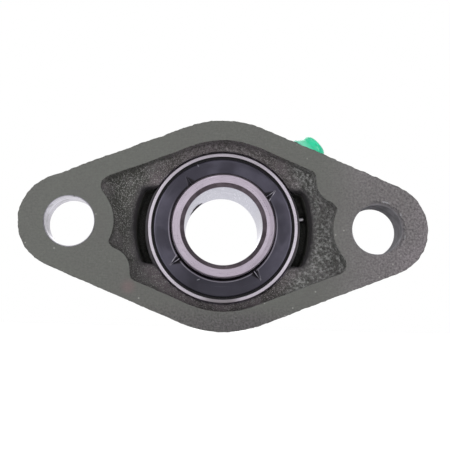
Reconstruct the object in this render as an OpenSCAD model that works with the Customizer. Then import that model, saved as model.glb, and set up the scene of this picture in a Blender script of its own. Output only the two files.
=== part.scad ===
// Two-bolt flange bearing: a cast oval housing that holds a self-aligning ball bearing insert.
// X runs through both bolt holes, Y along the shaft into the housing, and Z is up.
// The origin is where the shaft axis meets the mounting face.
// Angles run from +X towards +Z, as seen when looking at the mounting face.

/* [Housing] */
// Distance between the bolt holes
bolt_spacing = 99; // [95:0.5:103]
// Diameter of a bolt hole
bolt_hole_d = 16; // [11:0.5:17]
// Overall length of the flange
flange_l = 132.4; // [130:0.2:138]
// Overall width of the flange, and diameter of the hub's foot
flange_w = 68.6; // [66:0.2:74]
// Radius of the flange's two ends
lobe_r = 15.3; // [13.5:0.1:18]
// Thickness of the flange at the bolt holes
flange_t = 13.5; // [11:0.5:15]
// Depth of the whole casting from the mounting face to its nose
housing_depth = 27; // [26:0.5:30]
// Radius of the hub at its nose, before the edge is rounded
nose_r = 31.4; // [30:0.1:33]
// Depth of the recess in the mounting face
recess_depth = 7; // [5:0.25:7.5]
// Width of the rim between the recess and the outside of the flange
rim_w = 6.7; // [5:0.1:8]
// Wall left round each bolt hole where the recess ends
bolt_wall = 6.3; // [4.5:0.1:7]
// Radius of the two outer corners of the recess
recess_corner_r = 3; // [1.5:0.25:3.5]
// Radius that rounds the far edge of the flange
edge_round = 2.2; // [0.8:0.1:3]
// Radius that rounds the nose of the hub
nose_round = 1.5; // [0.8:0.1:1.8]
// Cast fillet between the flange and the hub
hub_fillet_r = 3; // [1:0.25:4]

/* [Seat and loading slots] */
// Depth of the bearing's centre below the mounting face
centre_depth = 16; // [15.5:0.25:17.5]
// Half length of the spherical seat towards the nose
seat_front_l = 8.3; // [7.7:0.1:9]
// Radial reach of a loading slot beyond the bearing's sphere
slot_reach = 3.5; // [2.5:0.1:4]
// Height of a loading slot
slot_h = 24.4; // [20:0.2:27]
// Depth of a loading slot beyond the bearing's centre
slot_extra = 3.2; // [2.8:0.1:4]
// Radius of a loading slot's corners
slot_corner_r = 2.5; // [1:0.25:3]
// Slope of a loading slot's outer wall over its whole depth
slot_slope = 1.2; // [0:0.1:1.6]
// Width of the bevel that leads from the recess's floor down to the bearing
mouth_bevel = 2; // [0.5:0.1:2.2]

/* [Bearing insert] */
// Diameter of the shaft
shaft_d = 25.4; // [20:0.1:26]
// Diameter of the outer ring's sphere
sphere_d = 52; // [51:0.25:53]
// Width of the outer ring
outer_w = 15; // [14.4:0.1:15.4]
// Width of the outer ring's flat face
outer_face_w = 0.95; // [0.7:0.05:1.1]
// Chamfer between that face and the sphere
outer_chamfer = 0.25; // [0.1:0.05:0.3]
// Length of the inner ring
inner_l = 34.1; // [32:0.1:36]
// Length of the inner ring from the bearing's centre to the mounting side
inner_rear_l = 14.3; // [12:0.1:15]
// Outside diameter of the inner ring
inner_d = 33.8; // [33:0.1:34.4]
// Chamfer at both ends of the shaft bore
bore_chamfer = 1.4; // [0.6:0.1:1.8]
// Chamfer on the outside of the inner ring
inner_chamfer = 0.4; // [0.2:0.1:0.8]
// Diameter of a ball
ball_d = 7.938; // [7.5:0.001:8.1]
// Number of balls
ball_count = 9; // [7:1:9]
// Diameter of the circle through the balls' centres
pitch_d = 39; // [38.6:0.1:39.4]
// Height of the outer ring's shoulders above that circle
shoulder_rise = 2.2; // [1.9:0.05:2.4]
// Angle of the first ball
first_ball_angle = 10; // [0:1:39]

/* [Cage] */
// Thickness of the cage's sheet
cage_t = 0.7; // [0.5:0.05:0.9]
// Radial width of the cage
cage_w = 3.3; // [2.6:0.1:3.6]
// Diameter of a cage rivet
rivet_d = 1.2; // [0.9:0.1:1.4]

/* [Seals and slingers] */
// Width of a seal's groove in the outer ring
seal_w = 1.3; // [1.1:0.05:1.4]
// Depth of that groove behind the mouth
seal_bite = 0.5; // [0.3:0.05:0.6]
// Thickness of the steel in a seal
core_t = 0.5; // [0.4:0.05:0.6]
// Thickness of a slinger's sheet
slinger_t = 0.6; // [0.45:0.05:0.7]
// Gap between a slinger's edge and the outer ring
slinger_gap = 0.8; // [0.5:0.05:1]
// Number of pressed lugs in a slinger
lug_count = 4; // [3:1:6]
// Angle of the first lug
first_lug_angle = 37; // [0:1:89]
// Radial length of a lug
lug_l = 4; // [2.5:0.1:4.4]
// Width of a lug at the slinger's inner edge
lug_w = 3.4; // [2:0.1:4]

/* [Set screws and stop pin] */
// Diameter of a set screw
screw_d = 6; // [5:0.5:6.5]
// Length of a set screw
screw_l = 5; // [4.5:0.25:6]
// Distance of the set screws from the inner ring's far end
screw_inset = 5; // [4.5:0.25:6]
// Angle of the first set screw
first_screw_angle = 137; // [100:1:170]
// Angle between the two set screws
screw_spread = 120; // [60:5:120]
// Gap between a set screw's tip and the shaft
screw_back = 0.5; // [0.3:0.1:0.8]
// Diameter of the stop pin
pin_d = 2.2; // [1.5:0.1:2.6]
// Angle of the stop pin
pin_angle = 9; // [-12:1:12]
// Length of the stop pin outside the ring
pin_out = 1.6; // [1:0.1:1.8]
// Length of the stop pin inside the ring
pin_in = 1.4; // [1:0.1:1.6]

/* [Grease nipple] */
// Angle of the nipple round the hub
nipple_angle = 44; // [40:1:60]
// Distance of the grease groove from the bearing's centre, towards the nose
grease_offset = 4.2; // [3.8:0.1:4.6]
// Diameter of the nipple's boss
boss_d = 10; // [9.5:0.1:10.2]
// Radius at which the boss is faced off
boss_r = 34.8; // [34.2:0.1:35.4]
// Diameter of the nipple's thread
thread_d = 6; // [5:0.5:6.5]
// Length of the nipple's thread
thread_l = 5.4; // [4.5:0.1:6]
// Width across the flats of the nipple's hexagon
hex_af = 8; // [7:0.5:9]
// Diameter of the nipple's head
head_d = 6.5; // [6:0.1:7]
// Diameter of the cap's brim
brim_d = 12.6; // [11:0.2:13.4]

/* [Fits] */
// Radial clearance of the outer ring in its seat
seat_clear = 0.05; // [0.03:0.01:0.1]
// Clearance between a ball and its raceway
race_clear = 0.05; // [0.04:0.01:0.08]
// Clearance of a ball in its cage pocket
pocket_clear = 0.12; // [0.08:0.01:0.2]
// Radial clearance of screws and pins in their holes
hole_clear = 0.04; // [0.02:0.01:0.1]
// Radial clearance between parts that are pressed together
press_clear = 0.02; // [0.01:0.01:0.03]

/* [Hidden] */
$fn = 96;

REAR = -1;
FRONT = 1;
over = 1;

hub_r = flange_w / 2;
lobe_x = flange_l / 2 - lobe_r;
flank_angle = asin((hub_r - lobe_r) / lobe_x);
recess_r = hub_r - rim_w;
bolt_boss_r = bolt_hole_d / 2 + bolt_wall;
bolt_edge = 0.25;
// The metal that fills the recess's lower outer corner: where it leaves the boss, and its round bend.
fill_angle = 27;
fill_bend_r = 7;
fill_bend_angle = 78;
fill_bend_y = 15;
fill_corner_r = 2;
draft_start = flange_t - edge_round;

ball_r = ball_d / 2;
pitch_r = pitch_d / 2;
race_r = ball_r + race_clear;
sphere_r = sphere_d / 2;
seat_r = sphere_r + seat_clear;
half_w = outer_w / 2;
face_r = sqrt(pow(sphere_r, 2) - pow(half_w, 2));
mouth_r = face_r - outer_chamfer - outer_face_w;
land_r = pitch_r + shoulder_rise;
inner_r = inner_d / 2;
bore_r = shaft_d / 2;

slot_r = sphere_r + slot_reach;
slot_depth = centre_depth + slot_extra;
mouth_ledge = 0.9;
mouth_ledge_r = face_r + 0.3;
mouth_floor_l = 0.3;

// The slinger lies flush with the outer ring's face, and the seal lies behind it.
slinger_collar_l = 1.05;
slinger_hem = 0.45;
slinger_edge = 0.5;
slinger_bend = 0.9;
seal_gap = 0.15;
seal_out_h = half_w - slinger_t - slinger_hem - seal_gap;
seal_in_h = seal_out_h - seal_w;
seal_r = mouth_r + seal_bite;
lip_w = 1.6;
lip_clear = 0.05;
lip_notch = 0.3;
lug_floor = 0.05;
lug_ridge = 0.15;
lug_steep = 0.4;

cage_r = (inner_r + land_r) / 2;
pocket_r = ball_r + pocket_clear;
rivet_head_t = 0.45;
rivet_head_w = 0.5;

grease_groove_w = 2.6;
grease_groove_h = 0.6;
grease_groove_r = sqrt(pow(sphere_r, 2) - pow(grease_offset, 2)) - grease_groove_h;
grease_hole_d = 1.5;
passage_d = 3;

pin_edge = 0.3;
screw_r0 = bore_r + screw_back;
screw_tip = 0.7;
screw_edge = 0.4;
hex_key_af = 3;
hex_key_l = 2.6;
cup_d = 3.2;
cup_l = 0.8;

// Heights above the nipple's boss, and the steps of its bore.
nipple_hex_l = 2.8;
nipple_hex_edge = 0.5;
nipple_neck_l = 2.2;
nipple_neck_d = 4.3;
nipple_head_l = 3.2;
nipple_head_band = 0.9;
nipple_tip_d = 2.8;
nipple_top = nipple_hex_l + nipple_neck_l + nipple_head_l;
nipple_mouth_d = 1.8;
nipple_ball_d = 2.4;
nipple_bore_d = 2.7;
nipple_seat_l = 0.9;
nipple_seat_z = nipple_top - 0.4;
seat_slope = atan((nipple_bore_d - nipple_mouth_d) / 2 / nipple_seat_l);
ball_seat_clear = 0.02;
// The ball rests in the cone of the seat, below the mouth.
nipple_ball_z = nipple_seat_z
    - ((nipple_ball_d / 2 + ball_seat_clear) / cos(seat_slope) - nipple_mouth_d / 2) / tan(seat_slope);
spring_wire = 0.3;
spring_clear = 0.08;
spring_turns = 7;
spring_l = 4.6;
spring_high = nipple_ball_z - nipple_ball_d / 2;
spring_low = spring_high - spring_l;
cap_lift = 1.1;
cap_low = nipple_hex_l + cap_lift;
cap_wall = 1.1;
cap_roof = 1.4;
cap_gap = 0.1;
cap_round = 2;
cap_flare = 2.1;
brim_t = 1;

// Stands the drawing up: x stays, y becomes Z, and z becomes the depth along +Y.
module upright() {
    rotate([90, 0, 0]) mirror([0, 0, 1]) children();
}

// Places things on a radial line, with their z pointing outwards.
module radial(angle, depth, r) {
    rotate([0, 0, angle]) translate([r, 0, depth]) rotate([0, 90, 0]) children();
}

// Moves the bearing's centre to its depth. With REAR it also turns the part end for end.
module at_bearing(side = FRONT) {
    translate([0, 0, centre_depth])
        if (side == REAR) mirror([0, 0, 1]) children();
        else children();
}

// The oval of the flange, made smaller all round by inset.
module flange_outline(inset = 0) {
    circle(r = hub_r - inset);
    for (side = [-1, 1]) {
        translate([side * lobe_x, 0]) circle(r = lobe_r - inset);
        flank(side, inset);
    }
}

// The straight-sided part of the oval between the hub and one lobe.
module flank(side, inset = 0) {
    big = hub_r - inset;
    small = lobe_r - inset;
    s = sin(flank_angle);
    c = cos(flank_angle);
    polygon([
        [side * big * s, -big * c],
        [side * (lobe_x + small * s), -small * c],
        [side * (lobe_x + small * s), small * c],
        [side * big * s, big * c]
    ]);
}

// Half section of a disc whose far edge is rounded.
module rounded_rim(r) {
    polygon(concat(
        [[0, 0], [r, 0]],
        arc([r - edge_round, flange_t - edge_round], edge_round, 0, 90, 8),
        [[0, flange_t]]
    ));
}

module flange_plate() {
    flank_l = lobe_x * cos(flank_angle);
    cylinder(r = hub_r, h = flange_t - edge_round);
    for (side = [-1, 1]) {
        linear_extrude(flange_t - edge_round) flank(side);
        linear_extrude(flange_t) flank(side, edge_round);
        translate([side * lobe_x, 0, 0]) rotate_extrude() rounded_rim(lobe_r);
        for (turn = [-1, 1])
            mirror([side < 0 ? 1 : 0, 0, 0]) mirror([0, turn < 0 ? 1 : 0, 0])
                rotate([0, 0, -flank_angle])
                    translate([0, hub_r - edge_round, flange_t - edge_round])
                        rotate([0, 90, 0]) cylinder(r = edge_round, h = flank_l);
    }
}

// The hub's side leaves the flange's wall and ends in the round of its nose.
foot_x = hub_r - edge_round;
nose_x = nose_r - nose_round;
nose_z = housing_depth - nose_round;
draft = atan((hub_r - nose_r) / (nose_z - draft_start));

// Half section of the hub.
module hub_profile() {
    polygon([
        [0, 0],
        [foot_x, 0],
        [foot_x, draft_start - edge_round],
        [hub_r, draft_start],
        [nose_x + nose_round * cos(draft), nose_z + nose_round * sin(draft)],
        [nose_x, nose_z],
        [nose_x, housing_depth],
        [0, housing_depth]
    ]);
    translate([nose_x, nose_z]) circle(r = nose_round);
}

// Half section of the fillet that runs round the hub's foot.
module hub_fillet_profile() {
    foot = hub_r - (flange_t - draft_start) * tan(draft);
    difference() {
        translate([foot - over, flange_t - over])
            square([hub_fillet_r + over, hub_fillet_r + over]);
        translate([foot + hub_fillet_r, flange_t + hub_fillet_r]) circle(r = hub_fillet_r);
    }
}

// Points on an arc round c, from angle a0 to a1.
function arc(c, r, a0, a1, n) = [for (i = [0:n]) let (a = a0 + (a1 - a0) * i / n) c + r * [cos(a), sin(a)]];

// Half of the recess: the oval inside the rim, cut short by the boss round the bolt hole.
// Its upper outer corner is round, and its lower one is filled with metal.
module recess_half() {
    bolt = [-bolt_spacing / 2, 0];
    ring_r = bolt_boss_r + recess_corner_r;
    line_r = recess_r - recess_corner_r;
    swing = flank_angle + asin((line_r + bolt.x * sin(flank_angle)) / ring_r);
    corner = bolt + ring_r * [cos(swing), sin(swing)];
    fill_x = -slot_r;
    fill_centre_x = fill_x + fill_corner_r;
    fill_centre_y = -(recess_r - fill_corner_r + fill_centre_x * sin(flank_angle)) / cos(flank_angle);
    polygon(concat(
        arc([0, 0], recess_r, 90, 90 + flank_angle, 4),
        arc(corner, recess_corner_r, 90 + flank_angle, 180 + swing, 6),
        arc(bolt, bolt_boss_r, swing, -fill_angle, 10),
        arc([fill_x - fill_bend_r, -fill_bend_y], fill_bend_r, fill_bend_angle, 0, 5),
        arc([fill_centre_x, fill_centre_y], fill_corner_r, 180, 270 - flank_angle, 4),
        arc([0, 0], recess_r, 270 - flank_angle, 270, 4)
    ));
}

// A loading slot: an arc round the bearing, as high as the ring is wide and more.
module loading_slot() {
    corner_y = slot_h / 2 - slot_corner_r;
    corner_x = sqrt(pow(slot_r - slot_corner_r, 2) - pow(corner_y, 2));
    touch_y = corner_y * slot_r / (slot_r - slot_corner_r);
    intersection() {
        cylinder(r1 = slot_r, r2 = slot_r - slot_slope, h = slot_depth);
        linear_extrude(slot_depth) {
            translate([0, -touch_y]) square([slot_r + over, 2 * touch_y]);
            translate([0, -slot_h / 2]) square([corner_x, slot_h]);
            for (side = [-1, 1])
                translate([corner_x, side * corner_y]) circle(r = slot_corner_r);
        }
    }
}

module housing() color("dimgray") upright() difference() {
    union() {
        flange_plate();
        rotate_extrude() hub_profile();
        intersection() {
            rotate_extrude() hub_fillet_profile();
            linear_extrude(housing_depth) flange_outline(edge_round);
        }
        radial(nipple_angle, centre_depth + grease_offset, sphere_r)
            cylinder(d = boss_d, h = boss_r - sphere_r);
    }
    for (turn = [0, 180]) rotate([0, 0, turn]) {
        translate([0, 0, -over]) linear_extrude(recess_depth + over) recess_half();
        loading_slot();
        translate([bolt_spacing / 2, 0, 0]) {
            translate([0, 0, -over]) cylinder(d = bolt_hole_d, h = flange_t + 2 * over);
            translate([0, 0, -over])
                cylinder(r1 = bolt_hole_d / 2 + bolt_edge + over, r2 = bolt_hole_d / 2, h = bolt_edge + over);
        }
    }
    at_bearing() sphere(r = seat_r);
    seat_entry();
    seat_mouth();
    radial(nipple_angle, centre_depth + grease_offset, 0) {
        cylinder(d = passage_d, h = boss_r);
        translate([0, 0, boss_r - thread_l - over / 2])
            cylinder(d = thread_d + 2 * press_clear, h = thread_l + over);
    }
}

// A bevel leads from the recess's floor to a narrow ledge round the ring. It stays off the recess's wall.
module seat_entry() {
    bevel_r = min(mouth_ledge_r + mouth_bevel, recess_r - mouth_floor_l);
    rotate_extrude() polygon([
        [0, recess_depth - over],
        [bevel_r, recess_depth - over],
        [bevel_r, recess_depth],
        [mouth_ledge_r, recess_depth + mouth_ledge],
        [0, recess_depth + mouth_ledge]
    ]);
}

// The seat opens into a cone at the nose.
module seat_mouth() {
    lip_r = sqrt(pow(seat_r, 2) - pow(seat_front_l, 2));
    lip_z = centre_depth + seat_front_l;
    translate([0, 0, lip_z - over / 2]) cylinder(r = lip_r, h = over);
    translate([0, 0, lip_z])
        cylinder(r1 = lip_r, r2 = lip_r + housing_depth - lip_z + over, h = housing_depth - lip_z + over);
}

// The groove that the balls run in.
module raceway() {
    rotate_extrude() translate([pitch_r, 0]) circle(r = race_r);
}

// A slice of the sphere whose two edges are turned off.
module outer_blank() {
    edge_r = face_r - outer_chamfer;
    reach = sphere_r + over - edge_r;
    intersection() {
        sphere(r = sphere_r);
        rotate_extrude() polygon([
            [0, -half_w],
            [edge_r, -half_w],
            [edge_r + reach, reach - half_w],
            [edge_r + reach, half_w - reach],
            [edge_r, half_w],
            [0, half_w]
        ]);
    }
}

module outer_ring() color("gainsboro") upright() difference() {
    at_bearing() difference() {
        outer_blank();
        cylinder(r = land_r, h = outer_w + 2 * over, center = true);
        raceway();
        for (side = [-1, 1]) {
            translate([0, 0, side * (seal_in_h + seal_w / 2)])
                cylinder(r = seal_r, h = seal_w, center = true);
            translate([0, 0, side * (seal_in_h + half_w + over) / 2])
                cylinder(r = mouth_r, h = half_w + over - seal_in_h, center = true);
        }
        rotate_extrude() translate([grease_groove_r, grease_offset - grease_groove_w / 2])
            square([grease_groove_h + over, grease_groove_w]);
    }
    for (turn = [0, 180])
        radial(nipple_angle + 90 + turn, centre_depth + grease_offset, pitch_r)
            cylinder(d = grease_hole_d, h = sphere_r - pitch_r);
    radial(pin_angle, centre_depth, sphere_r - pin_in)
        cylinder(r = pin_d / 2 + hole_clear, h = pin_in + over);
}

module stop_pin() color("lightgray") upright()
    radial(pin_angle, centre_depth, sphere_r - pin_in + hole_clear) {
        cylinder(d = pin_d, h = pin_in + pin_out - pin_edge);
        translate([0, 0, pin_in + pin_out - pin_edge])
            cylinder(d1 = pin_d, d2 = pin_d - 2 * pin_edge, h = pin_edge);
    }

// The length of the inner ring, from its rear end at z = 0, with its four chamfers.
module inner_blank() {
    rotate_extrude() polygon([
        [bore_r + bore_chamfer, 0],
        [inner_r - inner_chamfer, 0],
        [inner_r, inner_chamfer],
        [inner_r, inner_l - inner_chamfer],
        [inner_r - inner_chamfer, inner_l],
        [bore_r + bore_chamfer, inner_l],
        [bore_r, inner_l - bore_chamfer],
        [bore_r, bore_chamfer]
    ]);
}

function screw_depth() = centre_depth - inner_rear_l + inner_l - screw_inset;

module inner_ring() color("silver") upright() difference() {
    translate([0, 0, centre_depth - inner_rear_l]) inner_blank();
    at_bearing() raceway();
    for (i = [0, 1])
        radial(first_screw_angle + i * screw_spread, screw_depth(), bore_r / 2)
            cylinder(r = screw_d / 2 + hole_clear, h = inner_r);
}

module ball(i) color("whitesmoke") upright() at_bearing()
    rotate([0, 0, first_ball_angle + (i - 1) * 360 / ball_count])
        translate([pitch_r, 0, 0]) sphere(r = ball_r);

// The band that the cage's pockets and its flats are cut from.
module cage_band(h) {
    difference() {
        cylinder(r = cage_r + cage_w / 2, h = h);
        translate([0, 0, -over]) cylinder(r = cage_r - cage_w / 2, h = h + 2 * over);
    }
}

// Angles half way between the balls.
module between_balls() {
    for (i = [0:ball_count - 1])
        rotate([0, 0, first_ball_angle + (i + 0.5) * 360 / ball_count])
            translate([cage_r, 0, 0]) children();
}

module at_balls() {
    for (i = [0:ball_count - 1])
        rotate([0, 0, first_ball_angle + i * 360 / ball_count])
            translate([pitch_r, 0, 0]) children();
}

// One half of the cage: a flat band that rises over each ball in a round pocket.
module cage_half(side) at_bearing(side) difference() {
    intersection() {
        cage_band(pocket_r + cage_t);
        union() {
            cylinder(r = pitch_r + ball_r, h = cage_t);
            at_balls() sphere(r = pocket_r + cage_t);
        }
    }
    at_balls() sphere(r = pocket_r);
    between_balls()
        translate([0, 0, -over]) cylinder(r = rivet_d / 2 + press_clear, h = cage_t + 2 * over);
}

module cage_rear_half() color("peru") upright() cage_half(REAR);
module cage_front_half() color("peru") upright() cage_half(FRONT);

module cage_rivets() color("khaki") upright() at_bearing() between_balls() {
    cylinder(d = rivet_d, h = 2 * cage_t, center = true);
    for (side = [-1, 1])
        translate([0, 0, side * (cage_t + rivet_head_t / 2)])
            cylinder(d = rivet_d + 2 * rivet_head_w, h = rivet_head_t, center = true);
}

// The pressed steel ring of a seal, an L in section, snapped into the outer ring's groove.
module seal_core(side) at_bearing(side) {
    rotate_extrude() polygon([
        [inner_r + lip_w, seal_out_h - core_t],
        [seal_r - press_clear - core_t, seal_out_h - core_t],
        [seal_r - press_clear - core_t, seal_in_h],
        [seal_r - press_clear, seal_in_h],
        [seal_r - press_clear, seal_out_h],
        [inner_r + lip_w, seal_out_h]
    ]);
}

module rear_seal_core() color("darkgray") upright() seal_core(REAR);
module front_seal_core() color("darkgray") upright() seal_core(FRONT);

// The rubber: a layer behind the steel, and a thick inner edge with two lips on the inner ring.
module seal_lip(side) at_bearing(side) {
    lip_r = inner_r + lip_clear;
    mid_h = (seal_in_h + seal_out_h) / 2;
    rotate_extrude() polygon([
        [lip_r, seal_in_h],
        [seal_r - press_clear - core_t, seal_in_h],
        [seal_r - press_clear - core_t, seal_out_h - core_t],
        [inner_r + lip_w, seal_out_h - core_t],
        [inner_r + lip_w, seal_out_h],
        [lip_r, seal_out_h],
        [lip_r, mid_h + lip_notch],
        [lip_r + lip_notch, mid_h],
        [lip_r, mid_h - lip_notch]
    ]);
}

module rear_seal_lip() color("black") upright() seal_lip(REAR);
module front_seal_lip() color("black") upright() seal_lip(FRONT);

// One flank of a lug: a pressed hollow that is deepest at the slinger's inner edge.
module lug_hollow(r0, side) {
    low_z = half_w - slinger_t + lug_floor;
    high_z = half_w + lug_floor;
    polyhedron(
        points = [
            [r0 + lug_l, 0, half_w],
            [r0 - over, side * lug_ridge, high_z],
            [r0 - over, side * (lug_ridge + lug_w / 2), high_z],
            [r0 - over, side * (lug_ridge + lug_steep), low_z]
        ],
        faces = side > 0 ? [[0, 1, 2], [0, 3, 1], [0, 2, 3], [1, 3, 2]]
                         : [[0, 2, 1], [0, 1, 3], [0, 3, 2], [1, 2, 3]]
    );
}

// The pressed shield that turns with the inner ring. Its collar grips the ring and its rim is hemmed.
module slinger(side) at_bearing(side) {
    collar_r = inner_r + press_clear;
    bend_r = collar_r + slinger_t;
    rim_r = mouth_r - slinger_gap;
    flat_h = half_w - slinger_t;
    difference() {
        rotate_extrude() polygon(concat(
            [[collar_r, half_w - slinger_collar_l],
             [bend_r, half_w - slinger_collar_l],
             [bend_r, flat_h],
             [rim_r - slinger_t, flat_h],
             [rim_r - slinger_t, flat_h - slinger_hem],
             [rim_r, flat_h - slinger_hem]],
            arc([rim_r - slinger_edge, half_w - slinger_edge], slinger_edge, 0, 90, 3),
            arc([collar_r + slinger_bend, half_w - slinger_bend], slinger_bend, 90, 180, 3)
        ));
        for (i = [0:lug_count - 1])
            rotate([0, 0, first_lug_angle + i * 360 / lug_count])
                for (flank = [-1, 1]) lug_hollow(bend_r, flank);
    }
}

module rear_slinger() color("darkslategray") upright() slinger(REAR);
module front_slinger() color("darkslategray") upright() slinger(FRONT);

// A grub screw with a hexagon socket outside and a cup point towards the shaft.
module set_screw(i) upright()
    radial(first_screw_angle + (i - 1) * screw_spread, screw_depth(), screw_r0)
        difference() {
            union() {
                cylinder(d1 = screw_d - 2 * screw_tip, d2 = screw_d, h = screw_tip);
                translate([0, 0, screw_tip]) cylinder(d = screw_d, h = screw_l - screw_tip - screw_edge);
                translate([0, 0, screw_l - screw_edge])
                    cylinder(d1 = screw_d, d2 = screw_d - 2 * screw_edge, h = screw_edge);
            }
            translate([0, 0, screw_l - hex_key_l])
                cylinder(d = hex_key_af / cos(30), h = hex_key_l + over, $fn = 6);
            translate([0, 0, -over])
                cylinder(d1 = cup_d + 2 * over, d2 = cup_d - 2 * cup_l, h = cup_l + over);
        }

module set_screw_1() color("dimgray") set_screw(1);
module set_screw_2() color("dimgray") set_screw(2);

// Things on the nipple's axis, with z = 0 where the nipple sits on its boss.
module at_nipple() {
    upright() radial(nipple_angle, centre_depth + grease_offset, boss_r) children();
}

// The hexagon's upper corners are turned off, and the head is a double cone on a thin neck.
module grease_nipple() color("goldenrod") at_nipple() difference() {
    neck_z = nipple_hex_l + nipple_neck_l - (head_d - nipple_neck_d) / 2;
    union() {
        translate([0, 0, -thread_l]) cylinder(d = thread_d, h = thread_l);
        intersection() {
            cylinder(d = hex_af / cos(30), h = nipple_hex_l, $fn = 6);
            cylinder(d1 = hex_af + 2 * nipple_hex_l, d2 = hex_af + 2 * nipple_hex_edge - nipple_hex_l / 4,
                     h = nipple_hex_l);
        }
        rotate_extrude() polygon([
            [0, nipple_hex_l - over],
            [nipple_neck_d / 2, nipple_hex_l - over],
            [nipple_neck_d / 2, neck_z],
            [head_d / 2, nipple_hex_l + nipple_neck_l],
            [head_d / 2, nipple_hex_l + nipple_neck_l + nipple_head_band],
            [nipple_tip_d / 2, nipple_top],
            [0, nipple_top]
        ]);
    }
    translate([0, 0, -thread_l - over])
        cylinder(d = nipple_mouth_d, h = thread_l + nipple_top + 2 * over);
    translate([0, 0, spring_low])
        cylinder(d = nipple_bore_d, h = nipple_seat_z - nipple_seat_l - spring_low);
    translate([0, 0, nipple_seat_z - nipple_seat_l])
        cylinder(d1 = nipple_bore_d, d2 = nipple_mouth_d, h = nipple_seat_l);
}

module nipple_ball() color("white") at_nipple()
    translate([0, 0, nipple_ball_z]) sphere(d = nipple_ball_d);

// The coil between its step in the bore and the ball, drawn as one closed ring per turn.
module nipple_spring() color("lightgray") at_nipple() {
    coil_r = nipple_bore_d / 2 - spring_wire / 2 - spring_clear;
    for (i = [0:spring_turns - 1])
        translate([0, 0, spring_low + spring_wire / 2 + (spring_l - spring_wire) * i / (spring_turns - 1)])
            rotate_extrude() translate([coil_r, 0]) circle(d = spring_wire);
}

// The plastic cap: a cup over the nipple's head, flared to a thin brim to pull it off by.
module nipple_cap() color([0.18, 0.78, 0.6]) at_nipple() {
    cup_r = head_d / 2 + cap_gap + cap_wall;
    top = nipple_top + cap_gap + cap_roof;
    brim_r = (brim_d - brim_t) / 2;
    brim_top = cap_low + brim_t;
    difference() {
        rotate_extrude() {
            square([brim_r, brim_top]);
            translate([brim_r, cap_low + brim_t / 2]) circle(d = brim_t);
            polygon([[0, brim_top], [brim_r, brim_top], [cup_r, brim_top + cap_flare], [0, brim_top + cap_flare]]);
            square([cup_r - cap_round, top]);
            square([cup_r, top - cap_round]);
            translate([cup_r - cap_round, top - cap_round]) circle(r = cap_round);
        }
        translate([0, 0, -over]) cylinder(d = brim_d + over, h = cap_low + over);
        cylinder(r = head_d / 2 + cap_gap, h = nipple_top + cap_gap);
    }
}

housing();
outer_ring();
stop_pin();
inner_ring();
cage_rear_half();
cage_front_half();
cage_rivets();
rear_seal_core();
front_seal_core();
rear_seal_lip();
front_seal_lip();
rear_slinger();
front_slinger();
set_screw_1();
set_screw_2();
grease_nipple();
nipple_ball();
nipple_spring();
nipple_cap();
for (i = [1:ball_count])
    ball(i);
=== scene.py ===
"""A two-bolt flange bearing on a white table, seen from the side that bolts to a machine."""
import math

import bmesh
import bpy
from mathutils import Matrix, Vector


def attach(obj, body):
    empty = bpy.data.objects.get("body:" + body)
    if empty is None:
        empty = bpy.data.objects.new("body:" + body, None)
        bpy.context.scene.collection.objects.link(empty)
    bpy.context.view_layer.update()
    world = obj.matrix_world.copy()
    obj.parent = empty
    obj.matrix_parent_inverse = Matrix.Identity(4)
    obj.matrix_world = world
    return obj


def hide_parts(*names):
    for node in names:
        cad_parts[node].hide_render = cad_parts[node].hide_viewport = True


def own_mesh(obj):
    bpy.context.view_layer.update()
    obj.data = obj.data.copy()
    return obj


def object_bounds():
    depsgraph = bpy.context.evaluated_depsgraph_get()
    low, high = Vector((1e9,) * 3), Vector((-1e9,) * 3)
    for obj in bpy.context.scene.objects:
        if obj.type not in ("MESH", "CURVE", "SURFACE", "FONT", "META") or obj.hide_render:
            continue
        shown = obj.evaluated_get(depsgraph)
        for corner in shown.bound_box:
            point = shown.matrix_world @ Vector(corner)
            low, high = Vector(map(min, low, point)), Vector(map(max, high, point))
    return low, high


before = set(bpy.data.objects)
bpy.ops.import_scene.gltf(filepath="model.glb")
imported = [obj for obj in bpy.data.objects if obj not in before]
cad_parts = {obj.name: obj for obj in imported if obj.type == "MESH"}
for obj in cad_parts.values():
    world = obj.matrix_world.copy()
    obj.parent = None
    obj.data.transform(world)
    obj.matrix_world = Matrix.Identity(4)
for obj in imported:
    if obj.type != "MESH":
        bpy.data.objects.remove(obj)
cad_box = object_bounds()

MM = 0.001
DEPTH_AXIS = Vector((0, 1, 0))

# Sizes and places in metres, as the CAD model has them
BOLT_X = 49.5 * MM
BOLT_HOLE_R = 8 * MM
HOLE_EDGE = 0.25 * MM
HUB_R = 34.3 * MM
LOBE_X = 50.9 * MM
LOBE_R = 15.3 * MM
FLANGE_T = 13.5 * MM
RECESS_DEPTH = 7 * MM
CENTRE = Vector((0, 16 * MM, 0))
SEAT_R = 26.05 * MM
RING_FACE_R = 24.645 * MM
RING_HALF_WIDTH = 7.5 * MM
NIPPLE_ANGLE = math.radians(44)
NIPPLE_DEPTH = 20.2 * MM
BOSS_R = 34.8 * MM
NIPPLE_THREAD_R = 3.02 * MM
SHAFT_R = 12.7 * MM
BORE_CHAMFER = 1.4 * MM
SCREW_DEPTH = 30.8 * MM
SCREW_R = 3 * MM
SCREW_L = 5 * MM
SCREW_INNER_R = 13.2 * MM
SCREW_ANGLES = {"set_screw_1": 137, "set_screw_2": 257}
LUG_COUNT = 4
FIRST_LUG = math.radians(37)
LUG_TIP_R = 21.52 * MM
LUG_L = 4 * MM
COLLAR_R = 17.6 * MM

MERGE_WITHIN = 0.001 * MM

# The camera, from a fit to the edges of the holes and rings in the photograph
CAMERA_AT = Vector((-7.23, -330.87, -32.89)) * MM
CAMERA_YAW = math.radians(1.329)
CAMERA_PITCH = math.radians(5.687)
CAMERA_ROLL = math.radians(1.528)
LENS_MM = 82.84
SENSOR_MM = 36


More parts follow.
